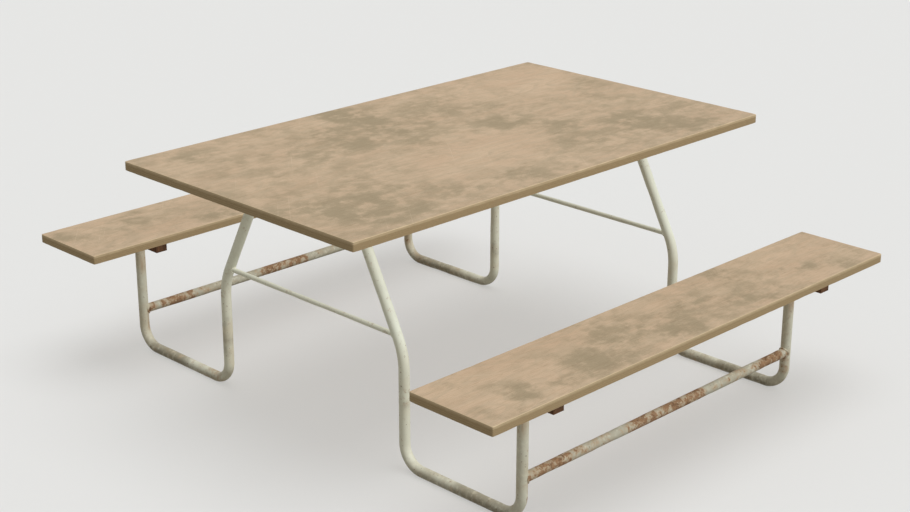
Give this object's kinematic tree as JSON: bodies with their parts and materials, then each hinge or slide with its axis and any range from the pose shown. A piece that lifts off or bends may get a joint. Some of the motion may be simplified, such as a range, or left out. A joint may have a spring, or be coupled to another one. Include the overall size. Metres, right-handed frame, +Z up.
{
  "type": "mess hall table",
  "caption": "Mess hall table with a weathered plywood top and attached plywood benches on a bent, welded steel tube frame, tied by cross rods and stretchers.",
  "frame": {"origin": "on the floor under the centre of the table top", "axes": "+X along the table to its right end, +Y from the front bench to the rear bench, +Z up"},
  "size_m": [1.75, 2.002, 0.78],
  "materials": {
    "weathered_plywood": "bare weathered plywood, stained grey-green in patches",
    "frame_paint": "off-white paint, chipped and rusted",
    "rusted_channel": "dark rusted steel",
    "zinc_fastener": "dull zinc with rust bloom"
  },
  "bodies": {
    "root": {"table_top": "weathered_plywood", "front_seat_board": "weathered_plywood", "rear_seat_board": "weathered_plywood", "front_left_leg": "frame_paint", "front_right_leg": "frame_paint", "rear_left_leg": "frame_paint", "rear_right_leg": "frame_paint", "left_cross_rod": "frame_paint", "right_cross_rod": "frame_paint", "front_stretcher": "frame_paint", "rear_stretcher": "frame_paint", "cross_rod_welds": "frame_paint", "stretcher_welds": "frame_paint", "left_top_channel": "rusted_channel", "right_top_channel": "rusted_channel", "front_left_seat_channel": "rusted_channel", "front_right_seat_channel": "rusted_channel", "rear_left_seat_channel": "rusted_channel", "rear_right_seat_channel": "rusted_channel", "leg_top_bolts": "zinc_fastener", "leg_top_nuts": "zinc_fastener", "leg_top_washers": "zinc_fastener", "seat_post_bolts": "zinc_fastener", "seat_post_nuts": "zinc_fastener", "seat_post_washers": "zinc_fastener", "table_top_screws": "zinc_fastener", "front_seat_screws": "zinc_fastener", "rear_seat_screws": "zinc_fastener"}
  },
  "joints": []
}
